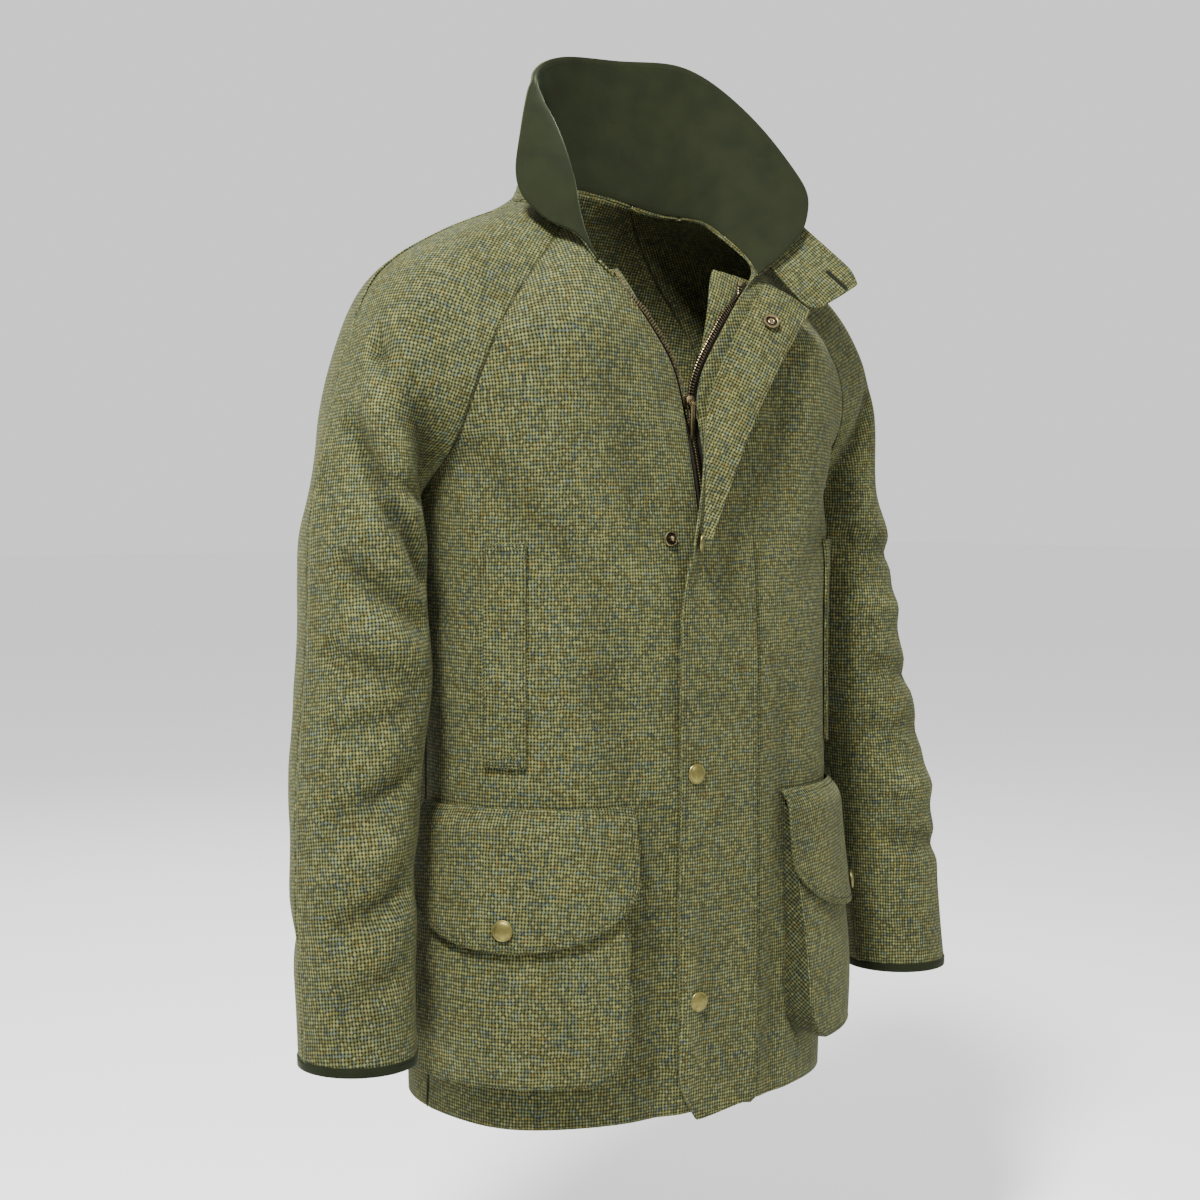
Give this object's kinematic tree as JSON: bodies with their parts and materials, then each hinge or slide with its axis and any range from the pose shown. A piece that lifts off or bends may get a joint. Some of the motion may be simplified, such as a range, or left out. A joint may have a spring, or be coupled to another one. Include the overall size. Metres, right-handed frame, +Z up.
{
  "type": "field coat",
  "caption": "Hip-length raglan tweed field coat, worn hollow, with moleskin collar turned up, zip part closed under a snapped front flap, bellows pockets and snapped pocket flaps.",
  "frame": {"origin": "middle of the neck, level with the highest points of the shoulders, where the wearer's neck and shoulders hold the coat up", "axes": "+Z up, the coat's front faces -Y, the wearer's left arm is at +X"},
  "size_m": [0.7146, 0.3218, 0.9703],
  "materials": {
    "tweed": "matte wool tweed, small olive check",
    "moleskin": "matte dark olive moleskin",
    "zip_tape": "woven brown tape",
    "brass": "antique brass, worn satin"
  },
  "bodies": {
    "coat": {"back": "tweed", "left_front": "tweed", "right_front": "tweed", "left_sleeve_front": "tweed", "left_sleeve_back": "tweed", "right_sleeve_front": "tweed", "right_sleeve_back": "tweed", "under_collar": "tweed", "front_placket": "tweed", "lapel": "tweed", "throat_tab": "tweed", "left_pocket_bag": "tweed", "left_pocket_flap": "tweed", "left_handwarmer_welt": "tweed", "right_pocket_bag": "tweed", "right_pocket_flap": "tweed", "right_handwarmer_welt": "tweed", "left_neck_facing": "tweed", "right_neck_facing": "tweed", "top_collar": "moleskin", "left_cuff_binding": "moleskin", "right_cuff_binding": "moleskin", "left_zip_tape": "zip_tape", "right_zip_tape": "zip_tape", "placket_snap_top": "brass", "placket_snap_middle": "brass", "placket_snap_low": "brass", "right_front_stud": "brass", "lapel_socket": "brass", "left_flap_snap": "brass", "right_flap_snap": "brass", "zip_slider": "brass"},
    "pull_tab": {"zip_pull": "brass"}
  },
  "joints": [
    {"name": "zip_pull_hinge", "type": "hinge", "parent": "coat", "child": "pull_tab", "pos_m": [-0.004, -0.1243, -0.185], "axis": [-1, 0, 0], "range_deg": [0, 150]}
  ]
}
